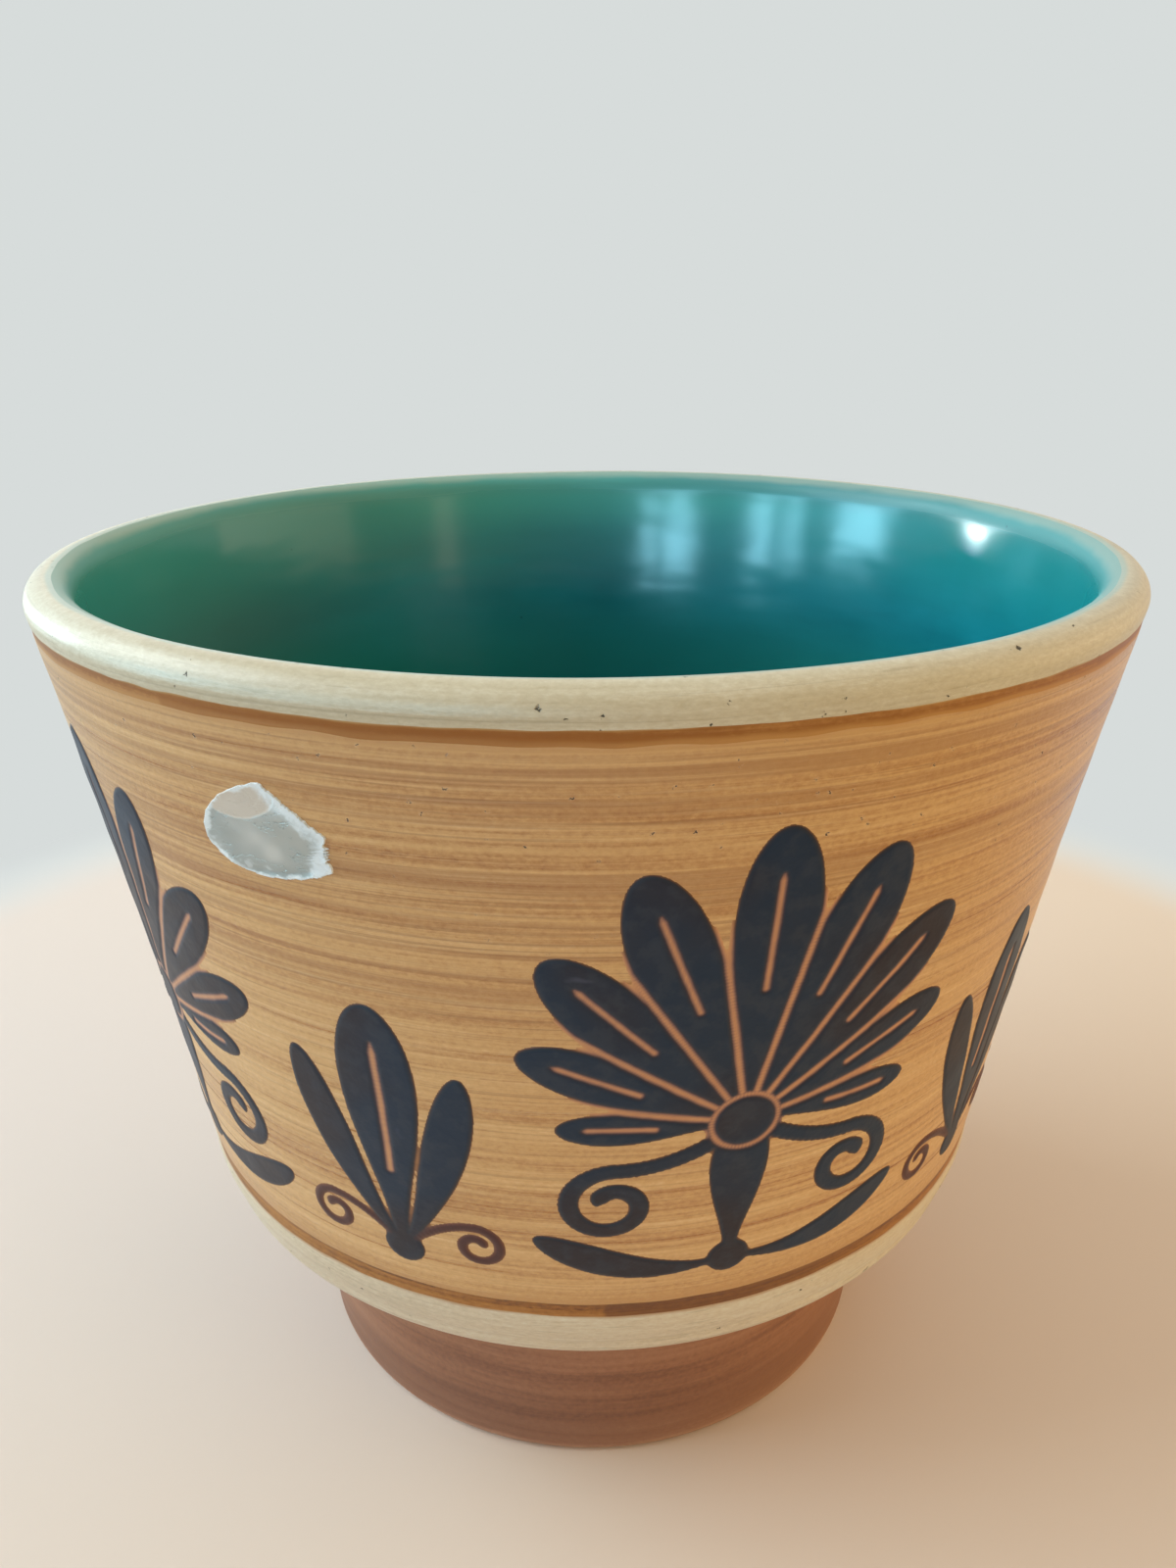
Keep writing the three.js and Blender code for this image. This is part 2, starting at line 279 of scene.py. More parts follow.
def new_piece(name, points, faces, uvs, layers, material, node):
    """A mesh with its attributes and bake map, which takes the place of a CAD node."""
    mesh = bpy.data.meshes.new(name)
    mesh.from_pydata((np.asarray(points) * MM).tolist(), [], faces)
    for layer, values in layers.items():
        attribute = mesh.attributes.new(layer, "FLOAT", "POINT")
        attribute.data.foreach_set("value", np.asarray(values, np.float32))
    bake_map = mesh.uv_layers.new(name="OFBake")
    bake_map.data.foreach_set("uv", np.asarray(uvs, np.float32).ravel())
    mesh.shade_smooth()
    mesh.set_sharp_from_angle(angle=sharp_angle)
    mesh.materials.append(material)
    piece = put_in_scene(name, mesh)
    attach(piece, "root")
    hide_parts(node)


around = np.linspace(0, 2 * math.pi, round_segments, endpoint=False)


def ring_mesh(rings, row_v):
    """Faces and bake map of a loop of rings. A ring of one point lies on the axis."""
    start = np.cumsum([0] + [len(ring) for ring in rings])
    i = np.arange(round_segments)
    j = (i + 1) % round_segments
    u, u_next = i / round_segments, (i + 1) / round_segments
    u_middle = (u + u_next) / 2
    faces, uvs = [], []
    for low in range(len(rings)):
        high = (low + 1) % len(rings)
        low_pole, high_pole = len(rings[low]) == 1, len(rings[high]) == 1
        if low_pole and high_pole:
            continue
        a, b = start[low], start[high]
        v, v_next = row_v[low] + 0 * u, row_v[low + 1] + 0 * u
        near_side = [(a + 0 * i, u_middle, v)] if low_pole else [(a + i, u, v), (a + j, u_next, v)]
        far_side = [(b + 0 * i, u_middle, v_next)] if high_pole else [
            (b + j, u_next, v_next), (b + i, u, v_next)]
        corners = near_side + far_side
        faces += np.stack([corner[0] for corner in corners], 1).tolist()
        places = [np.stack(corner[1:], 1) for corner in corners]
        uvs.append(np.stack(places, 1).reshape(-1, 2))
    return faces, np.concatenate(uvs)


shown_share = 0.92  # of the bake map, for the face of a coat that shows


def row_places(shown, hidden):
    back = np.linspace(shown_share + 0.01, 1, hidden + 1)
    return np.concatenate([np.linspace(0, shown_share, shown), back])


edge_reach = 0.07
brush_reach = 0.13  # of the wall's edge under the upper line
edge_ripples = {
    "foot": ripple(21, 2, 40, 0.6),
    "shoulder": ripple(22, 2, 60, 0.4),
    "lower_line": ripple(23, 2, 60, 0.4),
    "wall": ripple(24, 2, 60, 0.4),
    "upper_line": ripple(25, 2, 90, 0.3),
    "rim": ripple(26, 2, 50, 0.6),
}
bands = list(profile_bands)


def edge_shift(band):
    """How far the upper edge of a band wavers. The next band starts on the same edge."""
    if band not in edge_ripples:
        return 0 * around
    reach = brush_reach if band == "wall" else edge_reach
    return reach * edge_ripples[band](around)


def coat_piece(name, band, step, material, node):
    """A closed coat on one band of the surface."""
    low, high = band_ends[band]
    before = bands[bands.index(band) - 1] if band != bands[0] else None
    rows = max(8, int((high - low) / step))
    share = np.linspace(0, 1, rows + 1)[:, None]
    place = low + (high - low) * share
    place = place + edge_shift(before) * (1 - share) + edge_shift(band) * share
    hidden_rows = np.unique(np.append(np.arange(rows, -1, -hidden_step), 0))[::-1]
    shown = list(surface(place, around))
    hidden = list(surface(place[hidden_rows], around, coat_slack - coat))
    if band == bands[-1]:
        shown[-1] = shown[-1][:1] * (0, 0, 1)
        hidden[0] = hidden[0][:1] * (0, 0, 1)
    rings = shown + hidden
    shares = np.append(share[:, 0], share[hidden_rows, 0])
    layer = np.concatenate([np.full(len(r), a) for r, a in zip(rings, shares)])
    faces, uvs = ring_mesh(rings, row_places(len(shown), len(hidden)))
    new_piece(name, np.concatenate(rings), faces, uvs, {"across": layer}, material, node)


def rounded(corners, radius, steps=5):
    """A polyline with its inner corners rounded."""
    corners = [np.array(corner, float) for corner in corners]
    points = [corners[0]]
    for before, here, after in zip(corners, corners[1:], corners[2:]):
        come = here + (before - here) * radius / np.linalg.norm(before - here)
        leave = here + (after - here) * radius / np.linalg.norm(after - here)
        for t in np.linspace(0, 1, steps):
            points.append(come * (1 - t) ** 2 + 2 * here * t * (1 - t) + leave * t * t)
    points.append(corners[-1])
    return np.array(points)


def clay_piece(name, material):
    """The clay under the coats, with the foot's ring and recess, which are bare."""
    ring_inner = foot_radius - base_ring_width
    recess_edge = ring_inner - base_recess
    base = rounded([
        (recess_edge / 2, base_recess),
        (recess_edge, base_recess),
        (ring_inner, 0),
        (foot_radius - base_bevel, 0),
        (foot_radius - coat_slack, base_bevel),
    ], base_round)
    middle = line((0, base_recess), base[0], 2.0)
    under = np.concatenate([middle[:-1], base])
    clay_rows = np.linspace(0, walk[-1], int(walk[-1] / clay_step))
    rings = [np.array([[0, 0, base_recess]])]
    for radius, height in under[1:]:
        rings.append(point_at(radius, around, height + 0 * around))
    rings += list(surface(clay_rows[:, None], around, -coat))
    rings[-1] = rings[-1][:1] * (0, 0, 1)
    faces, uvs = ring_mesh(rings, row_places(len(under), len(rings) - len(under)))
    points = np.concatenate(rings)
    new_piece(name, points, faces, uvs, {}, material, "clay_body")


# Painted shapes, drawn flat in (across, up) from the foot of their motif, as brush
# strokes: the points of a middle line and the half width at each.
motif_pairs = 5
first_palmette = math.radians(15)
frieze_bottom = lower_line_top + 3.7
frieze_top = upper_line_bottom - 9.7
motif_gap = 3.2
motif_root = 2.4
heart_height = 23
heart_radius = 4
fan_petals = 9
fan_spread = math.radians(88)
fan_inset = 2
petal_gap = 1.1
stem_width = 6.5
volute_place = (13.5, 12.5)
volute_radius = 5.2
volute_stroke = 2
leaf_width = 4
leaf_height = 7
bud_drop = 22
bud_width = 9
sepal_drop = 7
sepal_reach = 9.5
sepal_width = 5
sepal_bend = (6, 12)
tendril_place = (9, 4.6)
tendril_radius = 3
tendril_stroke = 1.1
vein_width = 0.8
hand = 0.35  # how far a tip or bend strays
both_sides = ((1, 1), (-1, 1))

palmette_height = frieze_top - frieze_bottom
motif_pitch = 2 * math.pi / motif_pairs
bud_reach = tendril_place[0] + tendril_radius + tendril_stroke / 2
leaf_reach = wall_radius(frieze_bottom) * motif_pitch / 2 - bud_reach - motif_gap
knot = np.array([0, motif_root])
heart = np.array([0, heart_height])
stations = np.linspace(0, 1, 70)[:, None]


def curve(start, bend, end):
    t = stations
    start, bend, end = np.array(start), np.array(bend), np.array(end)
    return start * (1 - t) ** 2 + 2 * bend * t * (1 - t) + end * t * t


def petal(middle, width):
    t = stations[:, 0]
    belly, root = 0.72, 0.18
    swell = root + (1 - root) * smooth(t, 0, belly)
    tip = np.sqrt(1 - (np.maximum(t - belly, 0) / (1 - belly)) ** 2)
    return middle, width / 2 * swell * tip


def brush_line(middle, width):
    return middle, width / 2 * np.minimum(1, 12 * (1 - stations[:, 0]) + 0.35)


def dab(centre, radius):
    return np.array([centre]), np.array([radius])


def scroll(root, centre, radius):
    turns, eye = 1.2, 0.3  # eye is the share of the radius left at the end
    centre = np.array(centre)
    top = centre + (0, radius)
    first = curve(root, ((root[0] + top[0]) / 2, top[1]), top)[::3]
    share = stations
    turn = share * turns * 2 * math.pi
    reach = radius * (1 + (eye - 1) * share)
    wound = centre + reach * np.concatenate([np.sin(turn), np.cos(turn)], 1)
    path = np.concatenate([first, wound])
    pick = np.linspace(0, len(path) - 1, len(stations))
    index = np.arange(len(path))
    return np.stack([np.interp(pick, index, path[:, k]) for k in (0, 1)], 1)


def stray(draw):
    return draw.normal(0, hand, 2)


def palmette_strokes(draw):
    """The palmette's strokes, its thin brown strokes and its reserved veins."""
    strokes, veins = [], []
    pairs = (fan_petals - 1) // 2
    pitch = fan_spread / pairs
    for i in range(-pairs, pairs + 1):
        lean = pitch * i + draw.normal(0, 0.008)
        upright = math.cos(i / pairs * math.pi / 2)
        longest = palmette_height - heart_height
        length = (leaf_reach - fan_inset) * (1 - upright) + longest * upright
        length -= abs(draw.normal(0, hand))
        away = np.array([math.sin(lean), math.cos(lean)])
        root, tip = heart + away * heart_radius / 2, heart + away * length
        width = 2 * math.tan(pitch / 2) * 0.72 * length - petal_gap
        strokes.append(petal(curve(root, (root + tip) / 2 + stray(draw), tip), width))
        vein_root, vein_tip = heart + away * length * 0.5, heart + away * length * 0.88
        bend = (vein_root + vein_tip) / 2 + stray(draw) * 0.5
        veins.append(brush_line(curve(vein_root, bend, vein_tip), vein_width))
        if i < pairs:
            side = lean + pitch / 2
            away = np.array([math.sin(side), math.cos(side)])
            gap_root, gap_tip = heart + away * (heart_radius + 0.2), heart + away * length
            gap = curve(gap_root, (gap_root + gap_tip) / 2, gap_tip)
            veins.append((gap, np.full(len(gap), petal_gap * 0.42)))
    volute = scroll(heart, volute_place, volute_radius)
    leaf_tip = np.array([leaf_reach, leaf_height])
    strokes += [dab(heart, heart_radius), dab(knot, motif_root)]
    strokes.append(petal(curve(knot, (knot + heart) / 2, heart), stem_width))
    for side in both_sides:
        strokes.append(brush_line(volute * side + stray(draw) * 0.5, volute_stroke))
        leaf = curve(knot, np.array([leaf_reach / 2, 0]) + stray(draw), leaf_tip)
        strokes.append(petal(leaf * side, leaf_width))
    turn = np.linspace(0, 2 * math.pi, 60)
    ring = heart + (heart_radius - 0.3) * np.stack([np.sin(turn), np.cos(turn)], 1)
    veins.append((ring, np.full(60, vein_width / 2)))
    return strokes, [], veins


def bud_strokes(draw):
    """The bud's strokes, its thin brown strokes and its reserved veins."""
    bud_tip = np.array([0, palmette_height - bud_drop]) + stray(draw)
    sepal_tip = np.array([sepal_reach, palmette_height - bud_drop - sepal_drop])
    tendril = scroll(knot, tendril_place, tendril_radius)
    strokes = [petal(curve(knot, (knot + bud_tip) / 2 + stray(draw), bud_tip), bud_width),
               dab(knot, motif_root)]
    lines = []
    for side in both_sides:
        sepal = curve(knot, np.array(sepal_bend) + stray(draw) * 0.5, sepal_tip)
        strokes.append(petal(sepal * side, sepal_width))
        lines.append(brush_line(tendril * side, tendril_stroke))
    vein = curve(knot + (0, 12), knot + (0.4, 18), bud_tip - (0, 4))
    veins = [brush_line(vein, vein_width * 1.2)]
    return strokes, lines, veins


far_away = 50.0


def distance_to(stroke, across, up, margin=2.5):
    """Distance from grid points to the edge of a stroke, negative inside it. Points
    outside the stroke's box by more than a margin only count as far away."""
    middle, half = stroke
    best = np.full(across.shape, far_away, np.float32)
    low, high = middle.min(0) - half.max() - margin, middle.max(0) + half.max() + margin
    columns = slice(*np.searchsorted(across[0], (low[0], high[0])))
    rows = slice(*np.searchsorted(up[:, 0], (low[1], high[1])))
    near_x, near_y = across[rows, columns], up[rows, columns]
    for (x, y), reach in zip(middle, half):
        distance = np.hypot(near_x - x, near_y - y) - reach
        best[rows, columns] = np.minimum(best[rows, columns], distance)
    return best


def joined(first, second, soft):
    share = np.clip(0.5 + 0.5 * (second - first) / soft, 0, 1)
    return second * (1 - share) + first * share - soft * share * (1 - share)


def union(strokes, across, up, soft=0.5):
    total = np.full(across.shape, far_away, np.float32)
    for stroke in strokes:
        total = joined(total, distance_to(stroke, across, up), soft)
    return total


def sampler(grid, across, up):
    """Reads a grid of values at any point, also between the grid's own points."""
    corner = np.array([across[0, 0], up[0, 0]])
    cell = across[0, 1] - across[0, 0]
    most = np.array(grid.shape[::-1]) - 1.001

    def at(x, y):
        place = np.clip((np.stack([x, y], 1) - corner) / cell, 0, most)
        (c, r), (u, v) = place.astype(int).T, (place % 1).T
        low = grid[r, c] * (1 - u) + grid[r, c + 1] * u
        high = grid[r + 1, c] * (1 - u) + grid[r + 1, c + 1] * u
        return low * (1 - v) + high * v

    return at


def corners_of(grid):
    """The values at the four corners of each square of a grid, in turn."""
    return np.stack([grid[:-1, :-1], grid[:-1, 1:], grid[1:, 1:], grid[1:, :-1]], -1)


least_cut = 0.08  # of a square's side, so that no polygon is a sliver


def cut_grid(field, across, up, level):
    """The part of a grid where the field is under a level, as polygons: its grid points,
    the points where its edge crosses the grid, and the polygons over both."""
    inside = field < level
    number = np.full(field.shape, -1)
    number[inside] = np.arange(inside.sum())
    spots = np.stack([across[inside], up[inside], field[inside]], 1)
    crossings, crossing_of = [], {}

    def crossing(a, b):
        key = (min(a, b), max(a, b))
        if key not in crossing_of:
            share = (level - field[a]) / (field[b] - field[a])
            share = np.clip(share, least_cut, 1 - least_cut)
            crossing_of[key] = len(spots) + len(crossings)
            crossings.append([across[a] + (across[b] - across[a]) * share,
                              up[a] + (up[b] - up[a]) * share, level])
        return crossing_of[key]

    full = corners_of(inside).all(-1)
    some = corners_of(inside).any(-1) & ~full
    polygons = corners_of(number)[full].tolist()
    for row, column in zip(*np.nonzero(some)):
        square = [(row, column), (row, column + 1), (row + 1, column + 1), (row + 1, column)]
        polygon = []
        for here, after in zip(square, square[1:] + square[:1]):
            if inside[here]:
                polygon.append(int(number[here]))
            if inside[here] != inside[after]:
                polygon.append(crossing(here, after))
        polygons.append(polygon)
    return spots, np.array(crossings), polygons


edge_sink = 0.03  # how far a skin's edge lies under the wall's surface
back_sink = 0.12  # and its back
front_share = 0.88  # of the bake map, for the front; the back has the far corner
back_share = 0.1
back_corner = 0.89


def skin_piece(name, grid, level, lift_of, azimuth, height, layers_of, material, node):
    """A closed thin skin on the wall. Its edge and its back lie just inside the wall's
    slip, and lift_of says how far the front stands out."""
    across, up, field = grid
    spots, rim, polygons = cut_grid(field, across, up, level)
    count = len(spots)
    flat = np.concatenate([spots, rim, spots])
    lift = np.concatenate([lift_of(*spots.T), np.full(len(rim), -edge_sink),
                           np.full(count, -back_sink)])
    tall = height + flat[:, 1]
    turn = azimuth + np.arcsin(flat[:, 0] / wall_radius(tall))
    points = surface(walk_at_height(tall), turn, lift)
    to_back = np.concatenate([np.arange(count) + count + len(rim), np.arange(len(rim)) + count])
    back = [[int(to_back[k]) for k in reversed(polygon)] for polygon in polygons]
    low, high = flat[:, :2].min(0), flat[:, :2].max(0)
    place = (flat[:, :2] - low) / (high - low).max()
    front_uv = place * front_share
    back_uv = place * back_share + back_corner
    uvs = np.concatenate([front_uv[np.concatenate(polygons)], back_uv[np.concatenate(back)]])
    new_piece(name, points, polygons + back, uvs, layers_of(*flat.T), material, node)


reserve_bleed = 0.5  # how far the paint stains the thin lines left between strokes
edge_bleed = 0.18  # and how far it stains the wall round a motif
paint_lift = 0.12
stain_lift = 0.015
paint_waver = 0.02


def paint_piece(name, shapes, azimuth, material, node):
    strokes, lines, veins = shapes
    reach = max(np.abs(middle[:, 0]).max() for middle, half in strokes) + 5
    top = max(middle[:, 1].max() for middle, half in strokes) + 3
    across, up = np.meshgrid(np.arange(-reach, reach, motif_cell), np.arange(-2.5, top, motif_cell))
    broad = union(strokes, across, up)
    thin = union(lines, across, up)
    to_vein = np.minimum.reduce([distance_to(vein, across, up) for vein in veins])
    whole = np.maximum(joined(broad, thin, 0.4), -to_vein)
    reserve = smooth(to_vein, 0.6, 0.2)
    cut_field = whole + (1 - reserve) * (reserve_bleed - edge_bleed)
    edge_of = sampler(whole, across, up)
    wash_of = sampler(smooth(broad - thin, -0.4, 0.8), across, up)
    reserve_of = sampler(reserve, across, up)

    def lift(x, y, distance):
        body = smooth(-edge_of(x, y), -0.12, 0.4)
        waver = paint_waver * np.sin(0.9 * x + 1.7) * np.sin(0.8 * y + azimuth)
        return stain_lift + (paint_lift + waver) * body

    def layers(x, y, distance):
        return {"depth": -edge_of(x, y), "wash": wash_of(x, y), "reserve": reserve_of(x, y)}

    skin_piece(name, (across, up, cut_field), reserve_bleed, lift, azimuth, frieze_bottom, layers,
               material, node)


# The foil label: an oval torn along a slanted line, so that its upper right is gone.
label_azimuth = math.radians(-24.7)
label_height = upper_line_bottom - 11
label_length = 20.2
label_width = 10.3
label_tilt = math.radians(14)
oval_waver = 0.05
tear_tip = np.array([5.0, -1.3])
tear_end_reach = 3.5
worn_place = (-3.4, 4.3)  # where the foil has come off the paper
worn_reach = (4.9, 2.7)
tear_waves = ((0.55, 0.3), (1.4, 0.25), (3.1, 0.25), (6.7, 0.2))  # pace and size
slant_fray = 0.45
blunt_fray = 0.3
fibre_reach = 0.7
tear_inset = 0.3
crease_count = 4
label_lift = 0.08
foil_lift = 0.05
crumple_reach = 0.22
curl_reach = 0.1
label_seed = 41
motif_seed = 100


def beyond(start, end, along, side):
    """Distance to the left of a line, as seen from its start to its end."""
    way = (end - start) / np.linalg.norm(end - start)
    return (along - start[0]) * -way[1] + (side - start[1]) * way[0]


def label_piece(name, material):
    draw = np.random.default_rng(label_seed)
    half_length, half_width = label_length / 2, label_width / 2
    across, up = np.meshgrid(np.arange(-half_length - 1, half_length + 1, label_cell),
                             np.arange(-half_width - 3, half_width + 3, label_cell))
    along = across * math.cos(label_tilt) + up * math.sin(label_tilt)
    side = up * math.cos(label_tilt) - across * math.sin(label_tilt)
    oval = (np.hypot(along / half_length, side / half_width) - 1) * half_width
    oval += oval_waver * np.sin(3.1 * along + 1) * np.sin(2.7 * side)
    top = np.array([0, half_width])
    end_turn = math.acos(tear_end_reach / half_length)
    end = np.array([tear_end_reach, -half_width * math.sin(end_turn)])
    slant = beyond(top, tear_tip, along, side)
    blunt = beyond(tear_tip, end, along, side)
    step = side - along
    fray = 0 * step
    for pace, size in tear_waves:
        fray += size * np.abs((step * pace + draw.uniform(0, 6)) % 2 - 1)
    fibres = np.abs((side * 4.1 + 1.7 * np.sin(side * 2.3)) % 2 - 1)
    slant += slant_fray * fray
    blunt += (blunt_fray * fray + fibre_reach * fibres) * smooth(side, -4.6, -3)
    torn = np.maximum(slant, blunt) - tear_inset
    field = np.maximum(oval, torn)
    worn = np.hypot((along - worn_place[0]) / worn_reach[0], (side - worn_place[1]) / worn_reach[1])
    creases = [(draw.uniform(0, math.pi), draw.uniform(0.12, 0.3), draw.uniform(0, 6))
               for _ in range(crease_count)]
    torn_at, rim_at, worn_at = (sampler(grid, across, up) for grid in (torn, oval, worn))

    def crumple(x, y):
        total = 0 * x
        for angle, pace, phase in creases:
            wave = (x * math.cos(angle) + y * math.sin(angle)) * pace + phase
            total += np.abs(wave % 2 - 1) - 0.5
        return total / len(creases)

    def lift(x, y, distance):
        edge = smooth(distance, -0.8, 0)
        curl = curl_reach * edge * (0.6 + 0.4 * np.sin(1.3 * x - y))
        foil = foil_lift * smooth(worn_at(x, y), 0.95, 1.0)
        return label_lift + foil + crumple_reach * crumple(x, y) * (1 - edge) + curl

    def layers(x, y, distance):
        return {"torn": -torn_at(x, y), "rim": -rim_at(x, y), "worn": worn_at(x, y)}

    skin_piece(name, (across, up, field), 0.0, lift, label_azimuth, label_height, layers,
               material, "foil_label")


# Materials.
def srgb(colour):
    """A colour as screens show it, in parts of 0 to 255, as the light that Blender uses."""
    parts = np.array(colour) / 255
    linear = np.where(parts <= 0.04045, parts / 12.92, ((parts + 0.055) / 1.055) ** 2.4)
    return (*linear.tolist(), 1.0)


class Graph:
    """The nodes of a material or world, made and linked in short calls."""

    def __init__(self, owner, shader, place):
        owner.use_nodes = True
        self.owner = owner
        self.tree = owner.node_tree
        self.shader = self.tree.nodes[shader]
        self.place = self.add("TexCoord").outputs[place]

    def add(self, kind, **settings):
        node = self.tree.nodes.new("ShaderNode" + kind)
        for key, value in settings.items():
            setattr(node, key, value)
        return node

    def feed(self, socket, value):
        if isinstance(value, bpy.types.NodeSocket):
            self.tree.links.new(value, socket)
        else:
            socket.default_value = value

    def fed(self, node, *values):
        """The outputs of a node whose first inputs get these values."""
        for socket, value in zip(node.inputs, values):
            self.feed(socket, value)
        return node.outputs

    def give(self, node, **values):
        """The same, with inputs by name, where an underscore stands for a space."""
        for key, value in values.items():
            self.feed(node.inputs[key.replace("_", " ")], value)
        return node.outputs

    def math(self, operation, *values):
        return self.fed(self.add("Math", operation=operation), *values)[0]

    def times(self, first, second):
        return self.math("MULTIPLY", first, second)

    def plus(self, first, second):
        return self.math("ADD", first, second)

    def vector(self, operation, *values):
        outputs = self.fed(self.add("VectorMath", operation=operation), *values)
        return outputs["Value" if operation == "LENGTH" else "Vector"]

    def layer(self, name):
        return self.add("Attribute", attribute_name=name).outputs["Fac"]

    def split(self, place=None):
        """The X, Y and Z of a place."""
        return tuple(self.fed(self.add("SeparateXYZ"), place or self.place))

    def along(self, axis, value):
        """A vector of this length along one axis."""
        return self.give(self.add("CombineXYZ"), **{axis: value})[0]

    def height(self):
        return self.split()[2]

    def turn(self):
        """The azimuth round the pot, in radians, 0 at the front."""
        x, y, _ = self.split()
        return self.math("ARCTAN2", x, self.times(y, -1.0))

    def waving(self, reach, pace):
        """The place, moved up and down by a slow noise."""
        wave = self.math("MULTIPLY_ADD", self.noise((pace, pace)), 2 * reach, -reach)
        return self.vector("ADD", self.place, self.along("Z", wave))

    def jittered(self, reach, pace):
        """The place, moved a little every way by a fine noise."""
        shift = self.texture("Noise", self.place, Scale=pace)["Color"]
        return self.vector("MULTIPLY_ADD", shift, (2 * reach,) * 3, self.place)

    def texture(self, kind, place, **inputs):
        return self.give(self.add("Tex" + kind), Vector=place, **inputs)

    def noise(self, scale, detail=3.0, rough=0.5, place=None):
        """Noise with one scale round and across the pot and another one up it."""
        across, up = scale
        place = self.vector("MULTIPLY", place or self.place, (across, across, up))
        return self.texture("Noise", place, Scale=1.0, Detail=detail, Roughness=rough)["Fac"]

    def spots(self, pace, size, share, place=None):
        """Small spots, 1 inside. share is how many of the cells have one."""
        cells = self.texture("Voronoi", place or self.place, Scale=pace)
        near_it = self.between(cells["Distance"], size, size * 0.5)
        pick = self.fed(self.add("SeparateColor"), cells["Color"])[0]
        return self.times(near_it, self.math("LESS_THAN", pick, share))

    def between(self, value, low, high):
        """0 at low and 1 at high, smoothly."""
        node = self.add("MapRange", interpolation_type="SMOOTHSTEP")
        ends = (0.0, 1.0) if low <= high else (1.0, 0.0)
        return self.fed(node, value, min(low, high), max(low, high), *ends)["Result"]

    def sum_of(self, *parts):
        total = None
        for value, weight in parts:
            part = self.times(value, weight)
            total = part if total is None else self.plus(total, part)
        return total

    def ramp(self, value, *stops):
        node = self.add("ValToRGB")
        entries = node.color_ramp.elements
        for index, (place, colour) in enumerate(stops):
            entry = entries[index] if index < 2 else entries.new(place)
            entry.position, entry.color = place, srgb(colour)
        return self.fed(node, value)[0]

    def mix(self, share, first, second):
        node = self.add("Mix", data_type="RGBA")
        self.feed(node.inputs["Factor"], share)
        for socket, colour in zip(node.inputs[6:], (first, second)):
            self.feed(socket, srgb(colour) if isinstance(colour, tuple) else colour)
        return node.outputs[2]

    def tint(self, mask, colour, share=None):
        """Lays another colour, or a share of it, over the graph's colour inside a mask."""
        mask = mask if share is None else self.times(mask, share)
        self.colour = self.mix(mask, self.colour, colour)

    def finish(self, rough, bump, reach, **values):
        normal = self.give(self.add("Bump"), Strength=1.0, Distance=reach, Height=bump)[0]
        self.give(self.shader, Base_Color=self.colour, Roughness=rough, Normal=normal, **values)
        return self.owner


def graph(name):
    return Graph(bpy.data.materials.new(name), "Principled BSDF", "Object")


line_brown = (152, 98, 42)
line_fade = (186, 136, 76)
cream = (199, 188, 161)
glaze_break = (164, 180, 168)

# Heights between which the wall's brushwork changes, in metres.
pitted_heights = (0.085, 0.108)
sweep_heights = (0.078, 0.092)
dash_heights = (0.045, 0.085)


def honey_slip():
    g = graph("honey_slip")
    place = g.waving(0.0006, 13)
    bands = g.noise((5, 75), 3, 0.5, place)
    streaks = g.noise((9, 580), 5, 0.62, place)
    strokes = g.noise((20, 1700), 3, 0.6, place)
    grain = g.noise((1300, 2000), 3, 0.7)
    height = g.height()
    upper = g.between(height, *pitted_heights)
    tone = g.sum_of((bands, 0.13), (streaks, 0.34), (strokes, 0.32), (grain, 0.21), (upper, -0.014))
    g.colour = g.ramp(tone, (0.36, (150, 97, 49)), (0.43, (182, 132, 77)), (0.5, (202, 157, 100)),
                      (0.57, (213, 171, 114)), (0.65, (226, 191, 140)))
    under_line = upper_line_bottom * MM
    pale_band = g.between(height, under_line - 0.0065, under_line - 0.002)
    pale_band = g.times(pale_band, g.between(bands, 0.38, 0.56))
    g.tint(pale_band, (208, 168, 116), 0.3)
    sweeps = g.between(g.noise((8, 820), 4, 0.6, place), 0.45, 0.63)
    sweeps = g.times(sweeps, g.between(height, *sweep_heights))
    g.tint(sweeps, (144, 89, 40), 0.46)
    dashes = g.between(g.noise((22, 2300), 3, 0.6, place), 0.55, 0.68)
    dash_share = g.math("MULTIPLY_ADD", g.between(height, *dash_heights), 0.2, 0.18)
    g.tint(dashes, (136, 88, 44), dash_share)
    glints = g.between(g.noise((24, 2000), 2, 0.6, place), 0.58, 0.72)
    g.tint(glints, (228, 194, 144), 0.28)
    pitted = g.times(upper, g.between(g.noise((60, 160), 2), 0.4, 0.54))
    ragged = g.jittered(0.0005, 3500)
    # Painted highlight: a pale ring round each pit on the upper wall.
    pit_highlights = g.times(g.spots(560, 0.17, 0.75, ragged), pitted)
    g.tint(pit_highlights, (222, 188, 146), 0.4)
    pits = g.times(g.spots(560, 0.105, 0.75, ragged), pitted)
    g.tint(pits, (40, 24, 14))
    dry = g.sum_of((strokes, 0.04), (grain, 0.02), (g.layer("across"), 1.0))
    g.tint(g.between(dry, 1.021, 1.031), line_fade, 0.5)
    g.tint(g.between(dry, 0.07, 0.034), line_fade, 0.7)
    rough = g.plus(g.sum_of((strokes, 0.25), (streaks, 0.2), (pits, 0.4)), 0.1)
    bump = g.sum_of((streaks, 0.3), (strokes, 0.35), (grain, 0.35), (pits, -0.4))
    return g.finish(rough, bump, 0.0002, IOR=1.6)


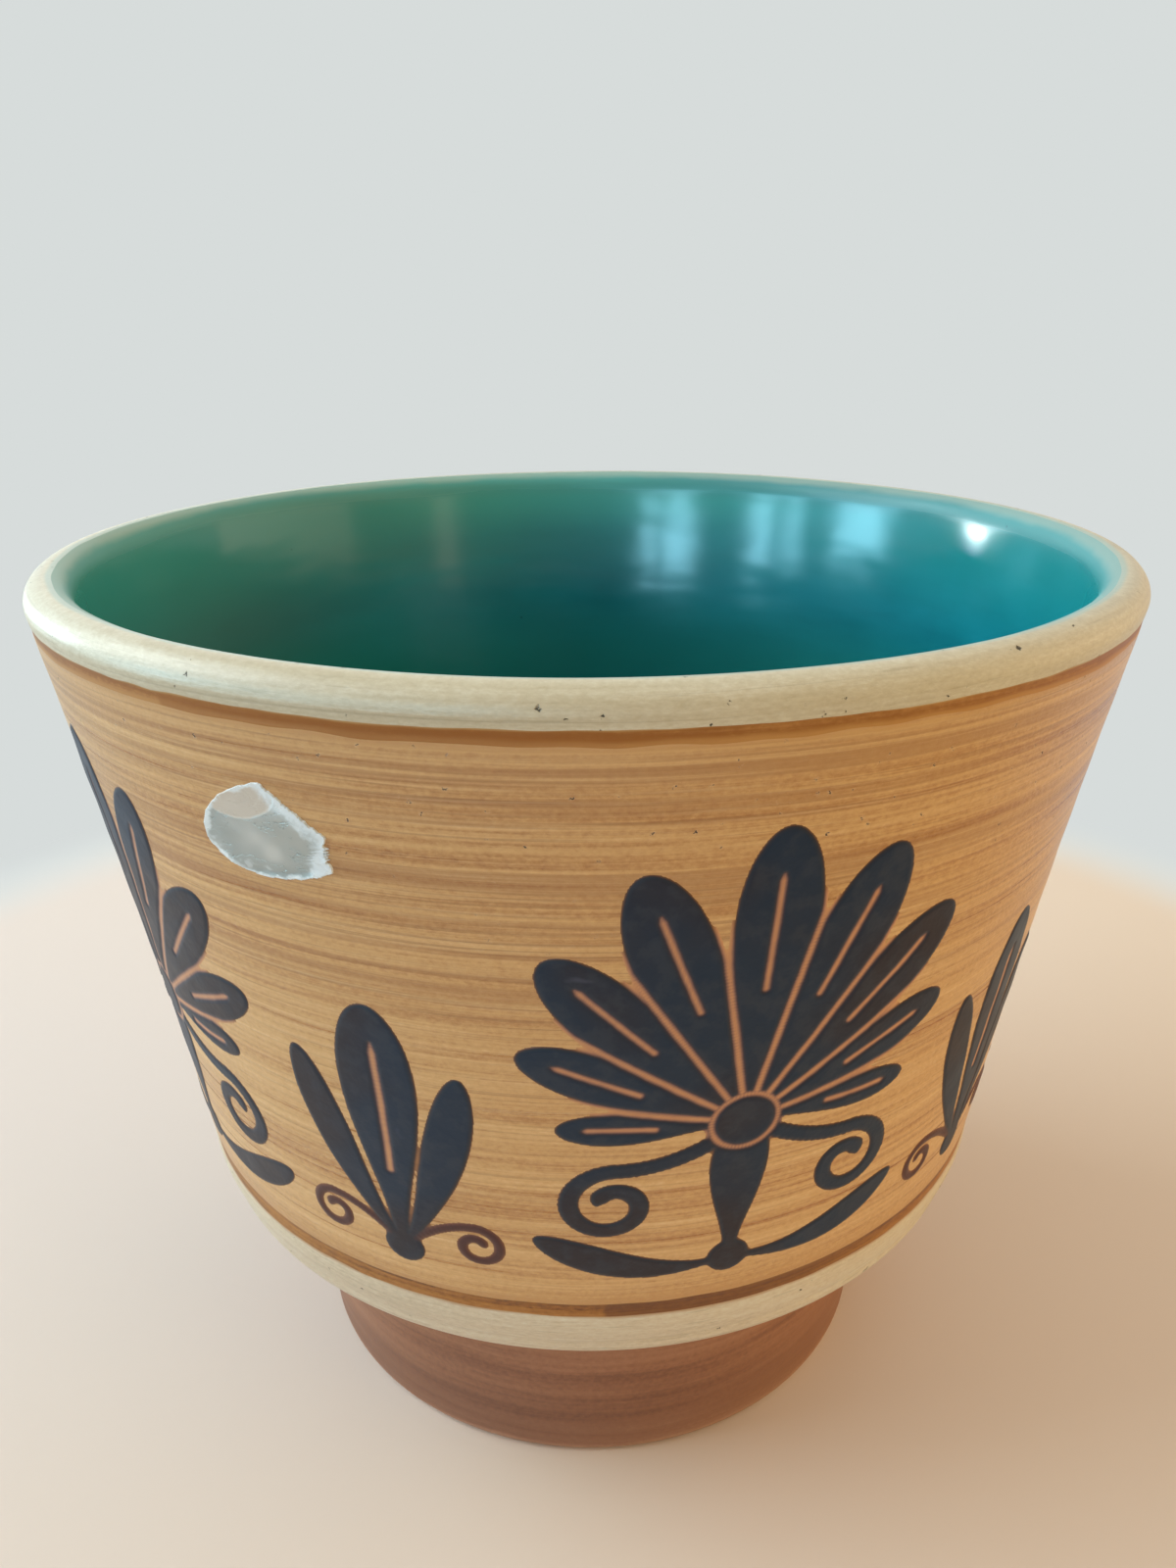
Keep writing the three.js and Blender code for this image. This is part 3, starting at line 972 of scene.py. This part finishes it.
def cream_glaze(name, base, shade, stain_low, stain_high, overrun_at):
    """A cream coat. The stains say how far brown creeps in at its two edges, and
    overrun_at where turquoise starts to run over it."""
    g = graph(name)
    place = g.waving(0.0004, 30)
    brush = g.noise((35, 2100), 4, 0.6, place)
    cloud = g.noise((28, 110), 3)
    grain = g.noise((1100, 3000), 3, 0.7)
    tone = g.sum_of((brush, 0.35), (cloud, 0.25), (grain, 0.4))
    g.colour = g.ramp(tone, (0.34, shade), (0.5, base), (0.7, (218, 212, 192)))
    ragged = g.jittered(0.0005, 2600)
    pits = g.math("MAXIMUM", g.spots(240, 0.075, 0.5, ragged), g.spots(600, 0.11, 0.35, ragged))
    g.tint(pits, (58, 50, 34), 0.95)
    scratch = g.between(g.noise((120, 2600), 1), 0.66, 0.74)
    hairlines = g.between(g.noise((9, 2700), 1, 0.5, place), 0.66, 0.73)
    g.tint(g.math("MAXIMUM", scratch, hairlines), (150, 138, 112), 0.3)
    stray = g.sum_of((g.noise((90, 900), 3), 0.06), (g.layer("across"), 1.0))
    low = g.between(stray, stain_low + 0.03, stain_low)
    high = g.between(stray, stain_high, stain_high + 0.03)
    g.tint(g.math("MAXIMUM", low, high), (166, 120, 76), 0.65)
    overrun = g.between(stray, overrun_at, overrun_at + 0.1)
    g.tint(overrun, glaze_break, 0.85)
    rough = g.plus(g.sum_of((brush, 0.2), (cloud, 0.12), (pits, 0.4)), 0.24)
    bump = g.sum_of((brush, 0.25), (cloud, 0.2), (grain, 0.3), (pits, -0.6))
    return g.finish(rough, bump, 0.00016)


def brown_line(name, dark, edge, brush_start):
    """A painted line. edge says how soft its two edges are. It is darker for a while
    after the azimuth where the brush started."""
    g = graph(name)
    wash = g.noise((40, 1500), 4, 0.65)
    slow = g.noise((20, 60), 3)
    grain = g.noise((1100, 2200), 3, 0.7)
    tone = g.sum_of((wash, 0.5), (slow, 0.26), (grain, 0.24))
    g.colour = g.ramp(tone, (0.42, dark), (0.5, line_brown), (0.59, (174, 120, 60)))
    turn = g.turn()
    loaded = g.times(g.between(turn, brush_start, brush_start + 0.012),
                     g.between(turn, brush_start + 0.9, brush_start + 0.3))
    g.tint(loaded, dark, 0.7)
    stray = g.sum_of((g.noise((80, 700), 3), 0.4), (g.layer("across"), 1.0))
    dry = g.math("MULTIPLY_ADD", loaded, -0.6, 1.0)
    soft = g.times(g.between(stray, 0.72, 0.3), edge)
    g.tint(soft, line_fade, dry)
    g.tint(g.between(stray, 1.06, 1.26), (186, 148, 92), edge)
    rough = g.plus(g.times(wash, 0.3), 0.3)
    return g.finish(rough, wash, 0.00008, Specular_IOR_Level=0.3)


def foot_slip():
    g = graph("foot_slip")
    place = g.waving(0.0008, 24)
    broad = g.noise((10, 90), 3, 0.5, place)
    medium = g.noise((14, 380), 4, 0.5, place)
    fine = g.noise((26, 1500), 3, 0.6, place)
    grain = g.noise((1400, 1400), 2, 0.6)
    tone = g.sum_of((broad, 0.5), (medium, 0.24), (fine, 0.12), (grain, 0.14))
    g.colour = g.ramp(tone, (0.39, (122, 77, 51)), (0.46, (147, 98, 67)), (0.54, (164, 115, 83)),
                      (0.63, (186, 140, 108)))
    stray = g.sum_of((g.noise((90, 500), 3), 0.05), (g.layer("across"), 1.0))
    # Painted shade: the foot darkened towards its bottom, standing in for the shadow where it meets
    # the table.
    low = g.between(stray, 0.5, 0.1)
    g.tint(low, (100, 62, 44), 0.42)
    worn = g.between(stray, 0.05, 0.02)
    g.tint(worn, (186, 142, 112), 0.5)
    # Painted shade: the top of the foot darkened, standing in for the shadow under the shoulder.
    shade_under_shoulder = g.between(stray, 0.68, 0.99)
    g.tint(shade_under_shoulder, (88, 56, 38), 0.5)
    rough = g.plus(g.sum_of((fine, 0.2), (grain, 0.2)), 0.42)
    bump = g.sum_of((medium, 0.4), (fine, 0.3), (grain, 0.3))
    return g.finish(rough, bump, 0.00012)


def turquoise_glaze():
    g = graph("turquoise_glaze")
    cloud = g.noise((24, 40), 4, 0.5)
    brush = g.noise((40, 260), 3, 0.5)
    tone = g.sum_of((cloud, 0.8), (brush, 0.2))
    g.colour = g.ramp(tone, (0.36, (11, 102, 115)), (0.5, (16, 118, 132)), (0.64, (26, 132, 146)))
    x, y, z = g.split()
    # Painted light: the left inner wall is tinted greener, as if lit warm from the right, and
    # greyer at its far left as painted shade.
    warm_lit_left = g.between(x, 0.0, -0.06)
    g.tint(warm_lit_left, (50, 110, 110), 0.55)
    shaded_far_left = g.between(x, -0.035, -0.062)
    g.tint(shaded_far_left, (84, 108, 100), 0.45)
    stray = g.sum_of((g.noise((60, 200), 3), 0.0016), (z, 1.0))
    top = pot_height * MM
    deep = g.between(stray, top - 0.017, top - 0.034)
    g.tint(deep, (25, 117, 110), 0.8)
    lighter = g.between(stray, top - 0.022, top - 0.003)
    g.tint(lighter, (34, 153, 150), 0.52)
    # Painted highlight: the back inner wall just under the rim made paler and brighter.
    far_back_highlight = g.times(g.between(y, 0.045, 0.062), g.between(stray, top - 0.011, top - 0.002))
    g.tint(far_back_highlight, (78, 188, 176), 0.4)
    thin = g.between(stray, top - 0.0045, top + 0.0005)
    g.tint(thin, (96, 160, 156), 0.48)
    # Painted shade: the thin glaze at the far right of the lip darkened.
    far_right_shade = g.times(g.between(x, 0.0, 0.03), g.between(y, 0.01, 0.045))
    g.tint(g.times(thin, far_right_shade), (20, 108, 110), 0.6)
    satin = g.between(stray, top - 0.0032, top - 0.0004)
    crest_line = g.between(stray, top - 0.0007, top + 0.0004)
    g.tint(crest_line, glaze_break, 0.6)
    specks = g.spots(240, 0.07, 0.08)
    g.tint(specks, (6, 66, 72), 0.5)
    rough = g.plus(g.sum_of((cloud, 0.1), (satin, 0.34)), 0.12)
    bump = g.sum_of((g.noise((60, 25), 2), 1.0), (g.noise((80, 190), 1), 0.75))
    return g.finish(rough, bump, 0.00012, IOR=1.52)


def cobalt_glaze():
    g = graph("cobalt_glaze")
    slow = g.noise((32, 32), 3)
    fine = g.noise((420, 420), 3, 0.6)
    depth = g.sum_of((g.layer("depth"), 1.0), (fine, 0.2))
    depth = g.math("SUBTRACT", depth, 0.1)
    share = g.between(depth, -reserve_bleed, 0.5)
    share.node.interpolation_type = "LINEAR"
    reserved = g.ramp(share, (0.0, (206, 154, 104)), (0.22, (184, 132, 98)), (0.4, (132, 96, 86)),
                      (0.56, (58, 46, 54)), (0.7, (34, 40, 56)))
    edged = g.ramp(share, (0.32, (150, 104, 66)), (0.44, (98, 66, 50)), (0.56, (44, 42, 50)),
                   (0.7, (32, 40, 54)))
    g.colour = g.mix(g.layer("reserve"), edged, reserved)
    blue = g.mix(g.between(slow, 0.42, 0.6), (8, 36, 60), (34, 28, 38))
    blue = g.mix(g.times(g.between(fine, 0.45, 0.65), 0.4), blue, (50, 56, 68))
    g.tint(g.between(depth, 0.1, 0.45), blue)
    streak = g.between(g.noise((130, 260), 2), 0.68, 0.78)
    thin_spots = g.times(streak, g.between(depth, 0.7, 1.4))
    g.tint(thin_spots, (92, 96, 122), 0.5)
    brown = g.ramp(share, (0.32, (150, 104, 66)), (0.5, (104, 62, 46)), (0.75, (76, 42, 38)))
    g.tint(g.layer("wash"), brown)
    rough = g.plus(g.sum_of((fine, 0.18), (slow, 0.12)), 0.28)
    return g.finish(rough, g.sum_of((fine, 0.7), (slow, 0.3)), 0.0001, Specular_IOR_Level=0.35)


def silver_foil():
    g = graph("silver_foil")
    crease = g.noise((260, 420), 4, 0.6)
    slow = g.noise((110, 150), 2)
    fine = g.noise((900, 900), 3, 0.6)
    g.colour = g.ramp(slow, (0.36, (168, 171, 166)), (0.52, (184, 187, 182)),
                      (0.62, (206, 207, 202)))
    wrinkle = g.math("ABSOLUTE", g.math("SUBTRACT", crease, 0.5))
    wrinkle = g.times(g.between(wrinkle, 0.012, 0.003), 0.35)
    g.tint(wrinkle, (122, 126, 122))
    scuffs = g.between(crease, 0.58, 0.66)
    g.tint(scuffs, (222, 226, 226), 0.5)
    worn = g.between(g.sum_of((g.layer("worn"), 1.0), (fine, 0.25)), 1.16, 1.06)
    g.tint(worn, g.mix(slow, (212, 200, 186), (194, 182, 167)))
    # Torn paper shows near the tear; on the label's lower side the pale zone reaches further, as a
    # painted reflection of the bent foil.
    low_side_sheen = g.between(g.height(), (label_height - 1) * MM, (label_height - 4) * MM)
    inside = g.sum_of((g.layer("torn"), 1.0), (fine, 1.6), (crease, 3.0), (low_side_sheen, -1.3))
    paper_and_sheen = g.between(inside, 4.1, 2.9)
    g.tint(paper_and_sheen, (222, 229, 232))
    # Painted highlight: a pale line along the label's curled rim.
    edge = g.sum_of((g.layer("rim"), 1.0), (crease, 2.4))
    rim_highlight = g.between(edge, 1.75, 1.35)
    g.tint(rim_highlight, (222, 226, 226))
    bare = g.math("MAXIMUM", g.math("MAXIMUM", paper_and_sheen, rim_highlight), worn)
    metal = g.times(g.math("SUBTRACT", 1.0, bare), 0.55)
    rough = g.plus(g.times(bare, 0.35), g.plus(g.times(crease, 0.2), 0.26))
    bump = g.sum_of((crease, 0.6), (fine, 0.25), (wrinkle, -0.4))
    return g.finish(rough, bump, 0.00016, Metallic=metal)


def fired_clay():
    g = graph("fired_clay")
    cloud = g.noise((40, 40), 4)
    grain = g.noise((1500, 1500), 3, 0.6)
    radius = g.vector("LENGTH", g.vector("MULTIPLY", g.place, (1, 1, 0)))
    rings = g.noise((900, 0), 3, 0.6, g.along("X", radius))
    tone = g.sum_of((cloud, 0.5), (rings, 0.3), (grain, 0.2))
    g.colour = g.ramp(tone, (0.34, (150, 104, 78)), (0.5, (178, 132, 102)), (0.66, (200, 160, 130)))
    wear = g.times(g.between(g.height(), 0.0006, 0.0), g.between(cloud, 0.4, 0.6))
    g.tint(wear, (212, 184, 160), 0.6)
    pits = g.spots(420, 0.12, 0.12)
    g.tint(pits, (106, 72, 54), 0.6)
    rough = g.plus(g.times(grain, 0.2), 0.7)
    bump = g.sum_of((rings, 0.5), (grain, 0.5), (pits, -0.6))
    return g.finish(rough, bump, 0.00016)


# The pieces.
rim_cream = cream_glaze("rim_cream", cream, (184, 171, 142), -0.02, 2, 0.87)
shoulder_cream = cream_glaze("shoulder_cream", (206, 190, 164), (184, 168, 141), 0.02, 1.0, 2)
clay_piece("pot_clay", fired_clay())
coat_piece("foot_coat", "foot", 0.8, foot_slip(), "foot_slip")
coat_piece("shoulder_coat", "shoulder", 0.4, shoulder_cream, "shoulder_glaze")
coat_piece("lower_brown_line", "lower_line", 0.2,
           brown_line("lower_brown", (108, 65, 36), 0.2, 0.02), "lower_line")
coat_piece("wall_coat", "wall", 0.6, honey_slip(), "wall_slip")
coat_piece("upper_brown_line", "upper_line", 0.15,
           brown_line("upper_brown", (150, 92, 31), 0.85, -0.6), "upper_line")
coat_piece("rim_coat", "rim", 0.22, rim_cream, "rim_glaze")
coat_piece("inside_coat", "inside", 1.0, turquoise_glaze(), "inner_glaze")

cobalt = cobalt_glaze()
for pair in range(motif_pairs):
    draw = np.random.default_rng(motif_seed + pair)
    azimuth = first_palmette + pair * motif_pitch
    number = pair + 1
    paint_piece(f"palmette_paint_{number}", palmette_strokes(draw), azimuth,
                cobalt, f"palmette_{number}")
    paint_piece(f"bud_paint_{number}", bud_strokes(draw), azimuth - motif_pitch / 2,
                cobalt, f"lotus_bud_{number}")
label_piece("label_foil", silver_foil())


# The stage: a pale round table top that goes over into the colour of a pale room.
table_centre = 0.021
table_edge = (0.172, 0.215)
ground_reach = 3.0
ground_height = -0.00005  # just under the pot, so that no two faces share a plane
ground_sides = 96
room_back = (215, 220, 219)
room_front = (180, 181, 182)
room_right = (180, 149, 114)


def room_colour(g, place):
    """The room's colour in a direction: pale behind the pot, warmer at its right."""
    x, y, _ = g.split(g.vector("NORMALIZE", place))
    front = g.mix(g.between(x, -0.2, 0.8), room_front, room_right)
    return g.mix(g.between(y, -0.5, 0.6), front, room_back)


def ground():
    g = graph("ground")
    # Painted light: the table turns warmer towards the right, as if lit warm from that side.
    warm_light_right = g.between(g.split()[0], -0.12, 0.2)
    table = g.mix(warm_light_right, (220, 206, 196), (218, 199, 180))
    from_middle = g.vector("SUBTRACT", g.place, (0, table_centre, 0))
    outside = g.between(g.vector("LENGTH", from_middle), *table_edge)
    room = room_colour(g, g.place)
    g.give(g.shader, Base_Color=g.mix(outside, table, room), Roughness=0.8)
    glow = g.fed(g.add("Emission"), room)[0]
    path = g.add("LightPath").outputs
    seen = g.math("MAXIMUM", path["Is Camera Ray"], path["Is Glossy Ray"])
    seen = g.math("MAXIMUM", seen, path["Is Transmission Ray"])
    both = g.fed(g.add("MixShader"), g.times(outside, seen), g.shader.outputs[0], glow)
    g.give(g.tree.nodes["Material Output"], Surface=both[0])
    return g.owner


disc = bpy.data.meshes.new("ground")
ground_turns = np.linspace(0, 2 * math.pi, ground_sides, endpoint=False)
disc.from_pydata([(ground_reach * math.cos(a), ground_reach * math.sin(a), ground_height)
                  for a in ground_turns], [], [list(range(ground_sides))])
disc.materials.append(ground())
floor = put_in_scene("ground", disc)

world = bpy.data.worlds.new("room")
scene.world = world
room = Graph(world, "Background", "Generated")
room.give(room.shader, Color=room_colour(room, room.place))

# Light: a window at the left, its panes, a warm room and a doorway at the right, and a soft
# ceiling.
pot_middle = Vector((0, 0, 0.07))


def lamp(name, azimuth, distance, height, size, power, colour, reach="all"):
    """reach says what the lamp lights: all, only what is diffuse or only what shines."""
    light = bpy.data.lights.new(name, "AREA")
    light.shape = "RECTANGLE"
    light.size, light.size_y = size
    light.energy = power
    light.color = colour
    hung = put_in_scene(name, light)
    turn = math.radians(azimuth)
    hung.location = (distance * math.sin(turn), -distance * math.cos(turn), height)
    towards = pot_middle - Vector(hung.location)
    hung.rotation_euler = towards.to_track_quat("-Z", "Y").to_euler()
    hung.visible_camera = False
    hung.visible_diffuse = reach != "shine"
    hung.visible_glossy = reach != "diffuse"


sky = (0.34, 0.79, 1.0)
daylight = (0.78, 0.94, 1.0)
white = (0.9, 0.96, 1.0)
warm = (1.0, 0.7, 0.16)
lamp("side_window", -96, 1.5, 0.95, (1.5, 1.2), 33, daylight, "diffuse")
lamp("side_shine", -96, 1.5, 1.05, (1.2, 0.8), 21, daylight, "shine")
lamp("back_shine", -155, 1.5, 0.45, (0.9, 1.0), 3, daylight, "shine")
lamp("ceiling", 0, 0.05, 1.7, (1.6, 1.6), 2, white)
lamp("front_fill", 8, 1.5, 0.12, (1.2, 0.4), 2.6, white, "diffuse")
lamp("warm_fill", 70, 1.4, 0.6, (1.3, 1.1), 8.8, warm, "diffuse")
lamp("right_fill", 120, 1.5, 0.5, (1.2, 1.0), 6.3, (1.0, 0.62, 0.34), "diffuse")
pane_distance = 1.6
panes = (  # azimuth, width, height of the middle, tallness and power
    (-18.7, 0.11, 0.36, 0.24, 1.6), (-27.5, 0.22, 0.25, 0.46, 7.0),
    (-52, 0.19, 0.25, 0.44, 4.8), (-62, 0.14, 0.3, 0.36, 2.3), (-83, 0.42, 0.28, 0.4, 8.6),
    (-118, 0.07, 0.07, 0.3, 1.0))
for index, (azimuth, width, height, tall, power) in enumerate(panes):
    lamp(f"pane_{index}", azimuth, pane_distance, height, (width, tall), power, sky, "shine")
lamp("far_pane", -121.5, pane_distance, 0.218, (0.07, 0.085), 6, (0.75, 0.95, 1.0), "shine")
lamp("doorway", 42, 1.6, 0.33, (0.2, 0.36), 0.42, (1.0, 0.78, 0.56), "shine")
lamp("right_shine", 92, 1.5, 0.33, (1.2, 0.4), 1.6, (1.0, 0.76, 0.54), "shine")

# The camera, as fitted to the photograph: its place in metres, and degrees.
eye_place = (0, -0.1598, 0.1468)
eye_down = 21.91
eye_roll = -0.40
camera = bpy.data.cameras.new("camera")
camera.lens = 27.0
camera.sensor_width = 36.0
camera.clip_start = 0.005
eye = put_in_scene("camera", camera)
pitch, roll = math.radians(90 - eye_down), math.radians(eye_roll)
eye.matrix_world = (Matrix.Translation(eye_place)
                    @ Matrix.Rotation(pitch, 4, "X") @ Matrix.Rotation(roll, 4, "Z"))
scene.camera = eye
scene.view_settings.view_transform = "Standard"
